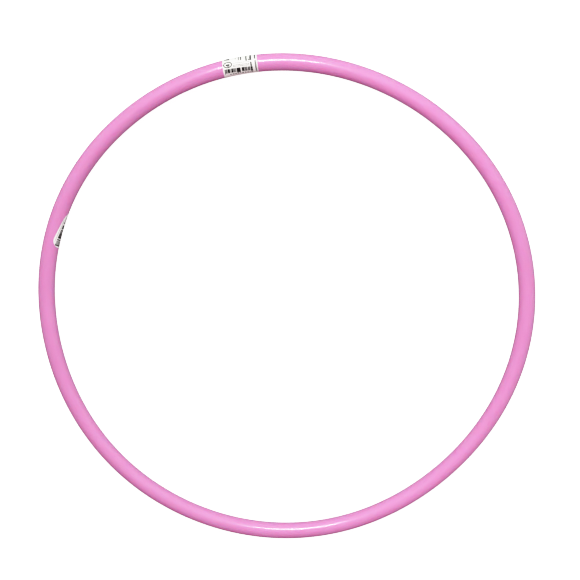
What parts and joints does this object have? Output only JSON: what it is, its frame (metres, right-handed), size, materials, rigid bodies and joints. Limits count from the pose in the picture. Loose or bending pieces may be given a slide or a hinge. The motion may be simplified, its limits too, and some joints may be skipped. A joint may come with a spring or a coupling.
{
  "type": "rhythmic gymnastics hoop",
  "caption": "Round pink plastic tube hoop with a plugged and stapled joint, a wrap-around label over the joint and a small barcode sticker.",
  "frame": {"origin": "under the centre of the ring, on the surface that the hoop lies on", "axes": "+Z along the ring's axis, up when the hoop lies flat; +X and +Y in the plane of the ring, with the tube's joint about 10 degrees past +Y towards -X"},
  "size_m": [0.5999, 0.5999, 0.0202],
  "materials": {
    "hoop_plastic": "semi-gloss bright pink polyethylene, faintly marked along its length by extrusion",
    "plug_plastic": "natural off-white moulded plastic",
    "staple_steel": "zinc-plated wire, satin",
    "label_paper": "white self-adhesive thermal paper, slightly smooth, black print",
    "sticker_paper": "faintly greenish white self-adhesive paper, black print"
  },
  "bodies": {
    "root": {"hoop_tube": "hoop_plastic", "joint_plug": "plug_plastic", "joint_staple_left": "staple_steel", "joint_staple_right": "staple_steel", "joint_label": "label_paper", "barcode_sticker": "sticker_paper"}
  },
  "joints": []
}
